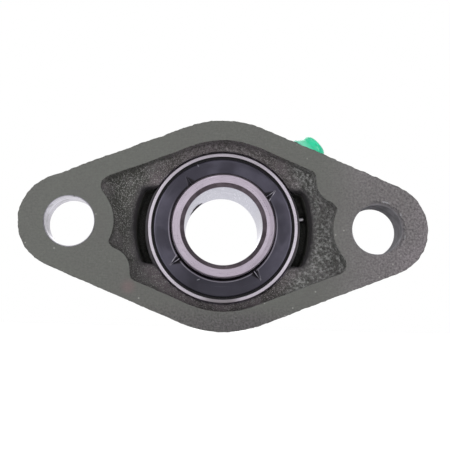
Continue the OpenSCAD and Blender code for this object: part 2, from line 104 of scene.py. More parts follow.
def only(piece):
    """Makes piece the one selected and active object."""
    bpy.ops.object.select_all(action="DESELECT")
    piece.select_set(True)
    bpy.context.view_layer.objects.active = piece


def modify(piece, kind, **settings):
    """Adds a modifier with these settings and applies it."""
    only(piece)
    added = piece.modifiers.new(kind.lower(), kind)
    for name, value in settings.items():
        setattr(added, name, value)
    bpy.ops.object.modifier_apply(modifier=added.name)


def settle(piece):
    """Applies the piece's place, turn and size to its mesh."""
    only(piece)
    bpy.ops.object.transform_apply(location=True, rotation=True, scale=True)


def stand(piece, foot, out):
    """Turns a piece that was modelled along Z to point along out, and moves it to foot."""
    piece.location = foot
    piece.rotation_euler = out.to_track_quat("Z", "Y").to_euler()
    settle(piece)


def edit_all(piece):
    """Opens piece in edit mode with everything selected."""
    only(piece)
    bpy.ops.object.mode_set(mode="EDIT")
    bpy.ops.mesh.select_all(action="SELECT")


def done():
    """Leaves edit mode."""
    bpy.ops.object.mode_set(mode="OBJECT")


def node_copy(node, name):
    """A new object with a copy of a CAD node's mesh, its loose triangles merged."""
    piece = bpy.data.objects.new(name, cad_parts[node].data.copy())
    bpy.context.scene.collection.objects.link(piece)
    edit_all(piece)
    bpy.ops.mesh.remove_doubles(threshold=MERGE_WITHIN)
    bpy.ops.mesh.select_all(action="DESELECT")
    done()
    return piece


def pick_faces(piece, test):
    """Opens piece in edit mode with only the faces selected whose centre and normal pass the test."""
    only(piece)
    bpy.ops.object.mode_set(mode="EDIT")
    bpy.ops.mesh.select_mode(type="FACE")
    bpy.ops.mesh.select_all(action="DESELECT")
    shape = bmesh.from_edit_mesh(piece.data)
    for face in shape.faces:
        face.select_set(test(face.calc_center_median(), face.normal))
    bmesh.update_edit_mesh(piece.data)


def cut(piece, tool):
    """Machines the tool's shape out of the piece and removes the tool."""
    modify(tool, "TRIANGULATE")
    modify(piece, "BOOLEAN", operation="DIFFERENCE", object=tool, solver="EXACT")
    bpy.data.objects.remove(tool)


def drill(start, direction, radius, far_radius, length, sides=128):
    """A round cutter that runs from start along direction."""
    centre = start + direction * length / 2
    turn = direction.to_track_quat("Z", "Y")
    bpy.ops.mesh.primitive_cone_add(vertices=sides, radius1=radius, radius2=far_radius, depth=length,
                                    location=centre, rotation=turn.to_euler())
    tool = bpy.context.object
    settle(tool)
    return tool


def radial_direction(angle):
    return Vector((math.cos(angle), 0, math.sin(angle)))


def from_axis(p):
    """Distance of a point from the shaft's axis."""
    return math.hypot(p.x, p.z)


def from_bolt(p):
    """Distance of a point from the nearer bolt hole's axis."""
    return math.hypot(abs(p.x) - BOLT_X, p.z)


FLANK = math.asin((HUB_R - LOBE_R) / LOBE_X)


def inside_rim(p):
    """How far a point lies inside the flange's straight flanks, seen along the shaft."""
    if abs(p.x) < HUB_R * math.sin(FLANK):
        return HUB_R - from_axis(p)
    return HUB_R - abs(p.z) * math.cos(FLANK) - abs(p.x) * math.sin(FLANK)


def weigh(piece, name, weight):
    """A vertex group whose weights are worked out from each point's place."""
    group = piece.vertex_groups.new(name=name)
    for vertex in piece.data.vertices:
        value = weight(vertex.co)
        if value > 0:
            group.add([vertex.index], value, "REPLACE")


def roughen(piece, name, size, depth, strength, middle, group=""):
    """Moves the skin in and out with a cloud texture, only in a vertex group where one is named."""
    texture = bpy.data.textures.new(name, "CLOUDS")
    texture.noise_scale = size
    texture.noise_depth = depth
    modify(piece, "DISPLACE", texture=texture, texture_coords="LOCAL", strength=strength,
           mid_level=middle, vertex_group=group)


# What the mill takes off the mounting face, and the fineness of the cast mesh
STOCK = 1.2 * MM
SAND_VOXEL = 0.485 * MM

# Where the mould leaves its roughest skin
HOLLOW_START = 0.2 * MM
HOLLOW_END = 20 * MM
BOLT_BOSS_R = 13.5 * MM
SLOT_START = 12 * MM
SLOT_REACH_R = 31.5 * MM
SLOT_EDGE_Z = 12.4 * MM
RIM_WIDTH = 5.2 * MM
NIBBLED_DEPTH = 4 * MM


def in_hollow(p):
    """1 in the recess and its slots, 0 on the outside and near the mounting face."""
    if p.y < HOLLOW_START or p.y > HOLLOW_END or from_bolt(p) < BOLT_BOSS_R:
        return 0
    if p.y > SLOT_START and from_axis(p) > SLOT_REACH_R:
        return 0
    return 1 if inside_rim(p) > RIM_WIDTH else 0


def near_outline(p):
    """1 on the flange's outer wall beside the mounting face."""
    outside_lobe = abs(p.x) > LOBE_X and math.hypot(abs(p.x) - LOBE_X, p.z) > LOBE_R - MM
    return 1 if p.y < NIBBLED_DEPTH and (outside_lobe or inside_rim(p) < MM) else 0


def sand_cast(piece):
    """Gives the form a mould's soft edges and uneven, grainy skin."""
    modify(piece, "REMESH", mode="VOXEL", voxel_size=SAND_VOXEL, adaptivity=0)
    modify(piece, "SMOOTH", factor=0.5, iterations=4)
    weigh(piece, "hollow", in_hollow)
    modify(piece, "SMOOTH", factor=0.5, iterations=22, vertex_group="hollow")
    roughen(piece, "swell", 9 * MM, 1, 0.3 * MM, 0.85)
    roughen(piece, "sand", 1.1 * MM, 2, 0.16 * MM, 0.75)
    roughen(piece, "sand_coarse", 1.6 * MM, 1, 0.3 * MM, 0.5, "hollow")
    weigh(piece, "outline", near_outline)
    roughen(piece, "nibble", 1.8 * MM, 1, 0.55 * MM, 0.6, "outline")


MARK_AT = Vector((33.6 * MM, RECESS_DEPTH, -10.4 * MM))
MARK_R = 1.7 * MM
MARK_WIDTH = 0.4 * MM
MARK_HEIGHT = 0.35 * MM
MARK_DEPTH_RANGE = 1.5 * MM


def foundry_mark(piece):
    """Raises a plain round mark on the recess's floor."""
    for vertex in piece.data.vertices:
        away = math.hypot(vertex.co.x - MARK_AT.x, vertex.co.z - MARK_AT.z)
        if abs(vertex.co.y - MARK_AT.y) < MARK_DEPTH_RANGE and away < 2 * MARK_R:
            vertex.co.y -= MARK_HEIGHT * math.exp(-(((away - MARK_R) / MARK_WIDTH) ** 2))


def casting():
    """The housing: a sand casting that is then faced, drilled and bored."""
    piece = node_copy("housing", "casting")
    pick_faces(piece, lambda p, n: n.y < -0.99 and p.y < 0.05 * MM)
    bpy.ops.mesh.extrude_region_move(TRANSFORM_OT_translate={"value": (0, -STOCK, 0)})
    done()
    pick_faces(piece, lambda p, n: from_bolt(p) < BOLT_HOLE_R + 0.3 * MM and abs(n.y) < 0.9)
    bpy.ops.mesh.delete(type="FACE")
    bpy.ops.mesh.select_all(action="SELECT")
    bpy.ops.mesh.fill_holes(sides=0)
    done()
    sand_cast(piece)
    foundry_mark(piece)
    machine(piece)
    piece.data.materials.clear()
    for finish in (cast_skin(), faced_iron(), drilled_iron()):
        piece.data.materials.append(finish)
    for face in piece.data.polygons:
        face.material_index = surface_of(face.center, face.normal)
    only(piece)
    bpy.ops.object.shade_smooth_by_angle(angle=math.radians(32))
    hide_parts("housing")
    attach(piece, "housing")


SKIN, FACED, DRILLED = range(3)
SEAT_MOUTH_R = 25.3 * MM
SEAT_FINISH_R = SEAT_R + 0.08 * MM
TOOL_MARGIN = 0.02 * MM


def surface_of(p, n):
    """Which finish a face of the casting has."""
    if p.y < TOOL_MARGIN and n.y < -0.99:
        return FACED
    if from_bolt(p) < BOLT_HOLE_R + HOLE_EDGE + TOOL_MARGIN:
        return DRILLED
    if (p - CENTRE).length < SEAT_FINISH_R or from_axis(p) < SEAT_MOUTH_R:
        return DRILLED
    return SKIN


def bolt_bit(side):
    """A cutter for one bolt hole, flared where it enters."""
    foot = Vector((side * BOLT_X, -MM, 0))
    rise = DEPTH_AXIS * (MM + HOLE_EDGE)
    bit = drill(foot + rise, DEPTH_AXIS, BOLT_HOLE_R, BOLT_HOLE_R, FLANGE_T + 2 * MM)
    pick_faces(bit, lambda p, n: n.y < -0.9)
    bpy.ops.mesh.extrude_region_move(TRANSFORM_OT_translate={"value": -rise})
    widening = 1 + rise.length / BOLT_HOLE_R
    bpy.ops.transform.resize(value=(widening, 1, widening), center_override=foot)
    done()
    return bit


# The milled block, how far the seat is bored past its size, and the nipple's spot face and hole
MILL_WIDTH = 200 * MM
MILL_T = 4 * MM
BORED_OVER = 0.05 * MM
SPOT_FACE_R = 5.6 * MM
SPOT_FACE_L = 3 * MM
NIPPLE_HOLE_L = 5.4 * MM
HOLE_RUN_OUT = 0.6 * MM


def machine(piece):
    """Faces the mounting side, drills the bolt holes, bores the seat, and spot-faces and drills the
    nipple's hole."""
    bpy.ops.mesh.primitive_cube_add(size=1, location=(0, -MILL_T / 2, 0),
                                    scale=(MILL_WIDTH, MILL_T, MILL_WIDTH))
    mill = bpy.context.object
    settle(mill)
    cut(piece, mill)
    modify(piece, "TRIANGULATE")
    left, right = bolt_bit(-1), bolt_bit(1)
    only(left)
    right.select_set(True)
    bpy.ops.object.join()
    cut(piece, left)
    bpy.ops.mesh.primitive_uv_sphere_add(segments=160, ring_count=80, radius=SEAT_R + BORED_OVER,
                                         location=CENTRE, rotation=(math.pi / 2, 0, 0))
    ball = bpy.context.object
    settle(ball)
    cut(piece, ball)
    out = radial_direction(NIPPLE_ANGLE)
    seat = Vector((0, NIPPLE_DEPTH, 0)) + out * BOSS_R
    cut(piece, drill(seat, out, SPOT_FACE_R, SPOT_FACE_R, SPOT_FACE_L, sides=64))
    cut(piece, drill(seat - out * NIPPLE_HOLE_L, out, NIPPLE_THREAD_R, NIPPLE_THREAD_R,
                     NIPPLE_HOLE_L + HOLE_RUN_OUT, sides=48))


THREAD_PITCH = 0.75 * MM
THREAD_DEPTH = 0.4 * MM
THREAD_CREST_R = SCREW_R - 0.02 * MM
THREAD_RINGS = 70
POINT_CHAMFER = 0.7 * MM
HEAD_CHAMFER = 0.4 * MM
SOCKET_R = 1.5 * MM / math.cos(math.pi / 6)
SOCKET_L = 2.6 * MM
CUP_R = 1.6 * MM
CUP_DEPTH = 0.8 * MM


def thread_wave(turns):
    """0 at the thread's crest and 1 at its root."""
    return abs(2 * (turns % 1) - 1)


def set_screw(node):
    """A grub screw with a cut thread, a hexagon socket and a cup point."""
    bpy.ops.mesh.primitive_cylinder_add(vertices=48, radius=THREAD_CREST_R, depth=SCREW_L)
    piece = bpy.context.object
    piece.name = node + "_threaded"
    edit_all(piece)
    shape = bmesh.from_edit_mesh(piece.data)
    sides = [edge for edge in shape.edges if abs(edge.verts[0].co.z - edge.verts[1].co.z) > MM]
    bmesh.ops.subdivide_edges(shape, edges=sides, cuts=THREAD_RINGS, use_grid_fill=False)
    for vertex in shape.verts:
        radius = math.hypot(vertex.co.x, vertex.co.y)
        angle = math.atan2(vertex.co.y, vertex.co.x)
        turns = vertex.co.z / THREAD_PITCH - angle / math.tau
        from_end = SCREW_L / 2 - abs(vertex.co.z)
        chamfer = POINT_CHAMFER if vertex.co.z < 0 else HEAD_CHAMFER
        new_radius = THREAD_CREST_R - THREAD_DEPTH * thread_wave(turns)
        new_radius = min(new_radius, SCREW_R - chamfer + from_end)
        vertex.co.x *= new_radius / radius
        vertex.co.y *= new_radius / radius
    bmesh.update_edit_mesh(piece.data)
    done()
    up = Vector((0, 0, 1))
    cut(piece, drill(up * (SCREW_L / 2 - SOCKET_L), up, SOCKET_R, SOCKET_R, SOCKET_L + MM, sides=6))
    cut(piece, drill(-up * (SCREW_L / 2 + MM), up, CUP_R + MM, CUP_R - CUP_DEPTH, MM + CUP_DEPTH,
                     sides=48))
    only(piece)
    bpy.ops.object.shade_smooth_by_angle(angle=math.radians(25))
    out = radial_direction(math.radians(SCREW_ANGLES[node]))
    stand(piece, Vector((0, SCREW_DEPTH, 0)) + out * (SCREW_INNER_R + SCREW_L / 2), out)
    piece.data.materials.append(bpy.data.materials["black_oxide"])
    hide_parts(node)
    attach(piece, node.replace("set_", ""))


SPRING_FOOT = 35.9 * MM
SPRING_TOP = 40.45 * MM
SPRING_R = 1.12 * MM
WIRE_R = 0.13 * MM
SPRING_TURNS = 7


def nipple_spring():
    """The coil spring under the nipple's check ball."""
    rise = SPRING_TOP - SPRING_FOOT - 2 * WIRE_R
    bpy.ops.mesh.primitive_circle_add(vertices=10, radius=WIRE_R, location=(SPRING_R, 0, WIRE_R),
                                      rotation=(math.pi / 2, 0, 0))
    piece = bpy.context.object
    piece.name = "coil_spring"
    settle(piece)
    modify(piece, "SCREW", axis="Z", screw_offset=rise / SPRING_TURNS, iterations=SPRING_TURNS, steps=28,
           use_merge_vertices=True, merge_threshold=MERGE_WITHIN)
    edit_all(piece)
    bpy.ops.mesh.fill_holes(sides=0)
    bpy.ops.mesh.select_all(action="SELECT")
    bpy.ops.mesh.normals_make_consistent(inside=False)
    done()
    bpy.ops.object.shade_smooth_by_angle(angle=math.radians(50))
    out = radial_direction(NIPPLE_ANGLE)
    foot = Vector((0, NIPPLE_DEPTH, 0)) + out * SPRING_FOOT
    stand(piece, foot, out)
    piece.data.materials.append(bpy.data.materials["turned_steel"])
    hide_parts("nipple_spring")
    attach(piece, "housing")
    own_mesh(piece)


def add(tree, kind, inputs=(), **settings):
    """Adds a shader node. Its inputs are values or the outputs of other nodes."""
    made = tree.nodes.new(kind)
    for name, value in settings.items():
        setattr(made, name, value)
    for name, value in dict(inputs).items():
        if isinstance(value, bpy.types.NodeSocket):
            tree.links.new(value, made.inputs[name])
        else:
            made.inputs[name].default_value = value
    return made


def maths(tree, operation, first, second=0.0, third=0.0):
    return add(tree, "ShaderNodeMath", {0: first, 1: second, 2: third}, operation=operation).outputs[0]


def product(tree, first, *others):
    """All the values multiplied together."""
    for other in others:
        first = maths(tree, "MULTIPLY", first, other)
    return first


def vector(tree, operation, first, second=(0, 0, 0)):
    """Vector arithmetic that gives a vector."""
    return add(tree, "ShaderNodeVectorMath", {0: first, 1: second}, operation=operation).outputs["Vector"]


def measure(tree, operation, first, second=(0, 0, 0)):
    """Vector arithmetic that gives a length."""
    return add(tree, "ShaderNodeVectorMath", {0: first, 1: second}, operation=operation).outputs["Value"]


def ramp(tree, factor, stops):
    """A colour ramp with (position, colour) stops."""
    made = add(tree, "ShaderNodeValToRGB", {"Fac": factor})
    elements = made.color_ramp.elements
    while len(elements) < len(stops):
        elements.new(0.5)
    for element, (position, colour) in zip(elements, stops):
        element.position = position
        element.color = (*colour, 1)
    return made.outputs[0]


def grey_ramp(tree, factor, stops):
    """A ramp with (position, level) stops."""
    return ramp(tree, factor, [(position, (level,) * 3) for position, level in stops])


def smooth_step(tree, value, low, high):
    """0 below low and 1 above high."""
    made = add(tree, "ShaderNodeMapRange", {"Value": value, "From Min": low, "From Max": high},
               interpolation_type="SMOOTHSTEP")
    return made.outputs["Result"]


def blend_colour(tree, factor, first, second, mode="MIX"):
    made = add(tree, "ShaderNodeMix", {"Factor": factor}, data_type="RGBA", blend_type=mode)
    for socket, value in ((made.inputs[6], first), (made.inputs[7], second)):
        if isinstance(value, bpy.types.NodeSocket):
            tree.links.new(value, socket)
        else:
            socket.default_value = (*value, 1)
    return made.outputs[2]


def noise(tree, at, scale, detail=3.0, roughness=0.5, distortion=0.0):
    return add(tree, "ShaderNodeTexNoise", {"Vector": at, "Scale": scale, "Detail": detail,
                                            "Roughness": roughness, "Distortion": distortion}).outputs["Fac"]


def grains(tree, at, scale, channel):
    """Round grains: the distance from each one's middle, and a random number for each."""
    cells = add(tree, "ShaderNodeTexVoronoi", {"Vector": at, "Scale": scale}, feature="F1").outputs
    return cells["Distance"], add(tree, "ShaderNodeSeparateColor", {0: cells["Color"]}).outputs[channel]


def place(tree):
    """A point's place in the part's own frame."""
    return add(tree, "ShaderNodeTexCoord").outputs["Object"]


def hypotenuse(tree, first, second):
    squared = maths(tree, "MULTIPLY", second, second)
    return maths(tree, "SQRT", maths(tree, "MULTIPLY_ADD", first, first, squared))


def from_shaft(tree, at):
    """Distance from the shaft's axis, depth behind the mounting face and angle round the axis."""
    x, y, z = add(tree, "ShaderNodeSeparateXYZ", {0: at}).outputs
    return hypotenuse(tree, x, z), y, maths(tree, "ARCTAN2", z, x)


def line_at(tree, distance, half_width):
    """1 along a line and 0 away from it."""
    return smooth_step(tree, maths(tree, "ABSOLUTE", distance), half_width, 0.4 * half_width)


def below_face(tree, depth, half_width):
    """How far a point lies inside the two end faces of a ring of this half width."""
    off_centre = maths(tree, "ABSOLUTE", maths(tree, "SUBTRACT", depth, CENTRE.y))
    return maths(tree, "SUBTRACT", half_width, off_centre)


def new_group(name, inputs, outputs):
    """A shader node group with float inputs {name: value} and the named float outputs."""
    tree = bpy.data.node_groups.new(name, "ShaderNodeTree")
    for label, value in inputs.items():
        socket = tree.interface.new_socket(name=label, in_out="INPUT", socket_type="NodeSocketFloat")
        socket.default_value = value
    for label in outputs:
        tree.interface.new_socket(name=label, in_out="OUTPUT", socket_type="NodeSocketFloat")
    return tree, tree.nodes.new("NodeGroupInput"), tree.nodes.new("NodeGroupOutput")


def lathe_marks_group():
    """Fine lines that run round the shaft's axis, as turning and grinding leave them."""
    tree, given, result = new_group("lathe_marks", {"Lines": 4000.0, "Length": 2.5}, ["Lines", "Patches"])
    radius, depth, angle = from_shaft(tree, place(tree))
    across = maths(tree, "MULTIPLY", maths(tree, "ADD", radius, depth), given.outputs["Lines"])
    along = maths(tree, "MULTIPLY", angle, given.outputs["Length"])
    wound = add(tree, "ShaderNodeCombineXYZ", {0: across, 1: along}).outputs[0]
    tree.links.new(noise(tree, wound, 1.0, 4.0, 0.6), result.inputs["Lines"])
    broad = add(tree, "ShaderNodeCombineXYZ", {0: maths(tree, "MULTIPLY", radius, 120.0),
                                               1: maths(tree, "MULTIPLY", angle, 1.6)}).outputs[0]
    tree.links.new(noise(tree, broad, 1.0, 2.0), result.inputs["Patches"])


def sand_grain_group():
    """Grains of moulding sand printed in a cast skin: Height, round bright Specks, Lumps a few grains wide
    and a broad Mottle."""
    tree, given, result = new_group("sand_grain", {"Grain": 900.0}, ["Height", "Specks", "Lumps", "Mottle"])
    at = place(tree)
    fine = noise(tree, at, given.outputs["Grain"], 4.0, 0.65)
    from_grain, luck = grains(tree, at, maths(tree, "MULTIPLY", given.outputs["Grain"], 1.9), 0)
    grain = smooth_step(tree, from_grain, 0.62, 0.12)
    height = maths(tree, "ADD", maths(tree, "MULTIPLY", fine, 0.55), maths(tree, "MULTIPLY", grain, 0.45))
    tree.links.new(height, result.inputs["Height"])
    chosen = smooth_step(tree, luck, 0.52, 0.8)
    tree.links.new(maths(tree, "MULTIPLY", chosen, grain), result.inputs["Specks"])
    lumps = noise(tree, at, maths(tree, "MULTIPLY", given.outputs["Grain"], 0.95), 3.0, 0.65)
    tree.links.new(lumps, result.inputs["Lumps"])
    tree.links.new(noise(tree, at, 95.0, 3.0, 0.6), result.inputs["Mottle"])


def use_group(tree, group, inputs=()):
    made = add(tree, "ShaderNodeGroup", node_tree=bpy.data.node_groups[group])
    for name, value in dict(inputs).items():
        made.inputs[name].default_value = value
    return made.outputs


def new_material(name):
    """An empty material with its Principled shader."""
    material = bpy.data.materials.new(name)
    material.use_nodes = True
    tree = material.node_tree
    return material, tree, tree.nodes["Principled BSDF"]


def bump(tree, shader, height, strength, distance):
    made = add(tree, "ShaderNodeBump", {"Height": height, "Strength": strength, "Distance": distance})
    tree.links.new(made.outputs[0], shader.inputs["Normal"])


OLIVE = (0.126, 0.129, 0.118)
OLIVE_DEEP = (0.05, 0.05, 0.043)
OLIVE_WARM = (0.2, 0.178, 0.19)


def cast_skin():
    """Olive grey paint over sand-cast iron: even on the outside, thin on the high grains of the rough recess,
    whose bright specks are partly painted glints, and dark in the loading slots as painted shade. Beside the
    seat the recess carries painted shade too, and its left side is painted lighter at the top and darker at
    the bottom."""
    material, tree, shader = new_material("cast_skin")
    at = place(tree)
    x, _, z = add(tree, "ShaderNodeSeparateXYZ", {0: at}).outputs
    radius, depth, _ = from_shaft(tree, at)
    below_floor = smooth_step(tree, depth, RECESS_DEPTH - 0.2 * MM, RECESS_DEPTH + 1.2 * MM)
    in_flange = smooth_step(tree, depth, FLANGE_T, FLANGE_T - MM)
    near_seat = smooth_step(tree, radius, SLOT_REACH_R, SLOT_REACH_R - MM)
    level = smooth_step(tree, maths(tree, "ABSOLUTE", z), SLOT_EDGE_Z + 2 * MM, SLOT_EDGE_Z)
    # Painted shade: the loading slots are coloured near black, and are also made rough and given little
    # relief.
    slot_shade = product(tree, below_floor, in_flange, near_seat, level)
    shaded = product(tree, smooth_step(tree, radius, 32 * MM, 29 * MM), level, 0.65)
    grain = use_group(tree, "sand_grain", {"Grain": 1150.0})
    left_side = ramp(tree, grain["Height"], [(0.3, OLIVE_DEEP), (0.5, (0.176, 0.175, 0.166)),
                                             (0.68, (0.4, 0.39, 0.38))])
    right_side = ramp(tree, grain["Lumps"], [(0.36, (0.07, 0.07, 0.064)), (0.5, (0.165, 0.165, 0.158)),
                                             (0.64, (0.5, 0.5, 0.49))])
    rougher = maths(tree, "MAXIMUM", smooth_step(tree, x, 16 * MM, 27 * MM),
                    maths(tree, "MULTIPLY", smooth_step(tree, z, 18 * MM, 26 * MM), 0.5))
    base = blend_colour(tree, rougher, left_side, right_side)
    mottle = product(tree, smooth_step(tree, grain["Mottle"], 0.42, 0.68),
                     maths(tree, "MULTIPLY_ADD", rougher, -0.65, 1.0))
    mottled = blend_colour(tree, mottle, base, (0.176, 0.162, 0.166))
    by_seat = smooth_step(tree, radius, 31 * MM, 27 * MM)
    mottled = blend_colour(tree, maths(tree, "MULTIPLY", by_seat, 0.5), mottled,
                           blend_colour(tree, 1.0, mottled, (1.0, 0.82, 0.93), "MULTIPLY"))
    # The bright specks are partly grains where the paint is thin and partly painted glints.
    specks = product(tree, grain["Specks"], smooth_step(tree, grain["Mottle"], 0.36, 0.66),
                     maths(tree, "MULTIPLY_ADD", rougher, -0.6, 0.9))
    finish_and_painted_light = blend_colour(tree, specks, mottled, (0.6, 0.59, 0.57))
    # Painted light: on the left of the recess the colour is lighter towards the top and darker towards the
    # bottom; on the right it is a flat 0.82.
    painted_light_by_height = grey_ramp(tree, smooth_step(tree, z, -22 * MM, 22 * MM), [(0, 0.55), (0.5, 0.8), (1, 1.0)])
    painted_light_tone = blend_colour(tree, smooth_step(tree, x, 24 * MM, 6 * MM), (0.82,) * 3, painted_light_by_height)
    recess = blend_colour(tree, 1.0, finish_and_painted_light, painted_light_tone, "MULTIPLY")
    recess = blend_colour(tree, shaded, recess, (0.04, 0.037, 0.04))
    paint = blend_colour(tree, smooth_step(tree, grain["Mottle"], 0.35, 0.7),
                         (0.118, 0.12, 0.11), (0.145, 0.147, 0.136))
    outside = blend_colour(tree, 0.6, paint, grey_ramp(tree, grain["Height"], [(0.3, 0.25), (0.7, 0.7)]),
                           "OVERLAY")
    in_recess = maths(tree, "MULTIPLY", in_flange, smooth_step(tree, rim_distance(tree, x, z), MM, 2.5 * MM))
    painted = blend_colour(tree, in_recess, outside, recess)
    tree.links.new(blend_colour(tree, slot_shade, painted, (0.028, 0.025, 0.028)), shader.inputs["Base Color"])
    roughness = grey_ramp(tree, grain["Specks"], [(0, 0.6), (1, 0.36)])
    tree.links.new(blend_colour(tree, slot_shade, roughness, (0.95,) * 3), shader.inputs["Roughness"])
    shader.inputs["Specular IOR Level"].default_value = 0.4
    lumpy = maths(tree, "MULTIPLY", rougher, 1.2)
    relief = product(tree, maths(tree, "MULTIPLY_ADD", grain["Lumps"], lumpy, grain["Height"]),
                     maths(tree, "MULTIPLY_ADD", slot_shade, -0.85, 1.0),
                     maths(tree, "MULTIPLY_ADD", in_recess, 0.6, 0.4))
    bump(tree, shader, relief, 0.9, 0.45 * MM)
    return material


def rim_distance(tree, x, z):
    """How far a point lies inside the flange's outline, seen along the shaft."""
    wide = maths(tree, "ABSOLUTE", x)
    high = maths(tree, "ABSOLUTE", z)
    flank = maths(tree, "SUBTRACT", HUB_R, maths(tree, "MULTIPLY_ADD", high, math.cos(FLANK),
                                                 maths(tree, "MULTIPLY", wide, math.sin(FLANK))))
    hub = maths(tree, "SUBTRACT", HUB_R, hypotenuse(tree, x, z))
    lobe = maths(tree, "SUBTRACT", LOBE_R, hypotenuse(tree, maths(tree, "SUBTRACT", wide, LOBE_X), z))
    on_hub = maths(tree, "LESS_THAN", wide, HUB_R * math.sin(FLANK))
    on_lobe = maths(tree, "GREATER_THAN", wide, LOBE_X + LOBE_R * math.sin(FLANK))
    inside = maths(tree, "MULTIPLY_ADD", maths(tree, "SUBTRACT", hub, flank), on_hub, flank)
    return maths(tree, "MULTIPLY_ADD", maths(tree, "SUBTRACT", lobe, inside), on_lobe, inside)


BLOTCH_AT = (-30 * MM, 0, -20.5 * MM)


def faced_iron():
    """The mounting face under olive grey paint: faintly milled on the left, coarse-grained on the right,
    darkened along its outline as painted shade of the edge break and chipped there, with paint gathered round
    the right-hand hole."""
    material, tree, shader = new_material("faced_iron")
    at = place(tree)
    x, _, z = add(tree, "ShaderNodeSeparateXYZ", {0: at}).outputs
    side = smooth_step(tree, x, 28 * MM, 56 * MM)
    foot = smooth_step(tree, z, -24 * MM, -32 * MM)
    from_rim = rim_distance(tree, x, z)
    stretched = add(tree, "ShaderNodeMapping", {"Vector": at, "Scale": (1.0, 1.0, 7.0)}).outputs[0]
    milled = noise(tree, stretched, 420.0, 4.0, 0.6)
    leather = noise(tree, at, 1500.0, 2.0, 0.5, 0.3)
    cloud = noise(tree, at, 30.0, 3.0, 0.55)
    base = blend_colour(tree, side, OLIVE, OLIVE_WARM)
    base = blend_colour(tree, foot, base, (0.095, 0.089, 0.091))
    tinted = blend_colour(tree, maths(tree, "MULTIPLY", smooth_step(tree, cloud, 0.42, 0.66), 0.5),
                          base, (0.118, 0.115, 0.11))
    from_blotch = measure(tree, "DISTANCE", at, BLOTCH_AT)
    blotch = maths(tree, "MULTIPLY", smooth_step(tree, from_blotch, 3.2 * MM, 0.6 * MM), 0.5)
    tinted = blend_colour(tree, blotch, tinted, (0.2, 0.13, 0.135))
    lined = blend_colour(tree, 0.25, tinted, grey_ramp(tree, milled, [(0.3, 0.32), (0.7, 0.68)]),
                         "OVERLAY")
    rougher = maths(tree, "MAXIMUM", side, foot)
    grained = blend_colour(tree, maths(tree, "MULTIPLY_ADD", rougher, 0.42, 0.12), lined,
                           grey_ramp(tree, leather, [(0.35, 0.2), (0.65, 0.8)]), "OVERLAY")
    right_of_hole = maths(tree, "SUBTRACT", x, BOLT_X)
    from_hole = hypotenuse(tree, right_of_hole, z)
    facing = smooth_step(tree, maths(tree, "MULTIPLY_ADD", z, 0.6, right_of_hole), MM, 5 * MM)
    ragged = maths(tree, "MULTIPLY_ADD", leather, 0.9 * MM, from_hole)
    gathered = maths(tree, "MULTIPLY", smooth_step(tree, ragged, 9.9 * MM, 8.9 * MM), facing)
    ridge = maths(tree, "MULTIPLY", line_at(tree, maths(tree, "SUBTRACT", ragged, 9.7 * MM), 0.3 * MM),
                  maths(tree, "MULTIPLY", facing, smooth_step(tree, noise(tree, at, 240.0), 0.5, 0.6)))
    grained = blend_colour(tree, maths(tree, "MULTIPLY", gathered, 0.5), grained, (0.085, 0.08, 0.092))
    grained = blend_colour(tree, ridge, grained, (0.33, 0.32, 0.34))
    # Painted shade: a dark band just inside the outline, where the edge breaks away.
    edge = smooth_step(tree, from_rim, 0.55 * MM, 0.1 * MM)
    edged = blend_colour(tree, maths(tree, "MULTIPLY", edge, 0.5), grained, (0.05, 0.049, 0.045))
    from_chip, luck = grains(tree, at, 420.0, 1)
    often = maths(tree, "MULTIPLY", smooth_step(tree, from_rim, 2.4 * MM, 0.3 * MM), 0.22)
    kept = smooth_step(tree, maths(tree, "ADD", luck, often), 0.95, 1.0)
    chip = maths(tree, "MULTIPLY", smooth_step(tree, from_chip, 0.16, 0.05), kept)
    chipped = blend_colour(tree, maths(tree, "MULTIPLY", chip, 0.8), edged, (0.38, 0.37, 0.35))
    tree.links.new(chipped, shader.inputs["Base Color"])
    tree.links.new(grey_ramp(tree, leather, [(0.3, 0.6), (0.7, 0.44)]), shader.inputs["Roughness"])
    shader.inputs["Specular IOR Level"].default_value = 0.35
    coarse = maths(tree, "MULTIPLY", leather, maths(tree, "MULTIPLY_ADD", rougher, 0.88, 0.12))
    sunk = maths(tree, "MULTIPLY_ADD", gathered, -1.2, maths(tree, "MULTIPLY_ADD", milled, 0.08, coarse))
    bump(tree, shader, sunk, 1.0, 0.42 * MM)
    return material


def drilled_iron():
    """Bare machined iron in the bolt holes and the seat; paint has run into the right-hand hole."""
    material, tree, shader = new_material("drilled_iron")
    at = place(tree)
    split = add(tree, "ShaderNodeSeparateXYZ", {0: at}).outputs
    rings = add(tree, "ShaderNodeCombineXYZ", {1: maths(tree, "MULTIPLY", split[1], 1800.0),
                                               2: maths(tree, "MULTIPLY", split[2], 60.0)}).outputs[0]
    lines = noise(tree, rings, 1.0, 3.0, 0.6)
    patches = noise(tree, at, 260.0, 3.0, 0.6)
    metal = ramp(tree, lines, [(0.36, (0.2, 0.19, 0.225)), (0.6, (0.58, 0.56, 0.63))])
    stained = blend_colour(tree, smooth_step(tree, patches, 0.56, 0.72), metal, (0.10, 0.10, 0.10))
    paint = blend_colour(tree, smooth_step(tree, patches, 0.35, 0.75),
                         (0.17, 0.163, 0.178), (0.29, 0.28, 0.30))
    painted = smooth_step(tree, split[0], 30 * MM, 36 * MM)
    tree.links.new(blend_colour(tree, painted, stained, paint), shader.inputs["Base Color"])
    tree.links.new(maths(tree, "SUBTRACT", 1.0, painted), shader.inputs["Metallic"])
    bare_roughness = grey_ramp(tree, lines, [(0.2, 0.3), (0.8, 0.45)])
    tree.links.new(blend_colour(tree, painted, bare_roughness, (0.9,) * 3), shader.inputs["Roughness"])
    shader.inputs["Specular IOR Level"].default_value = 0.2
    bump(tree, shader, lines, 0.2, 0.03 * MM)
    return material


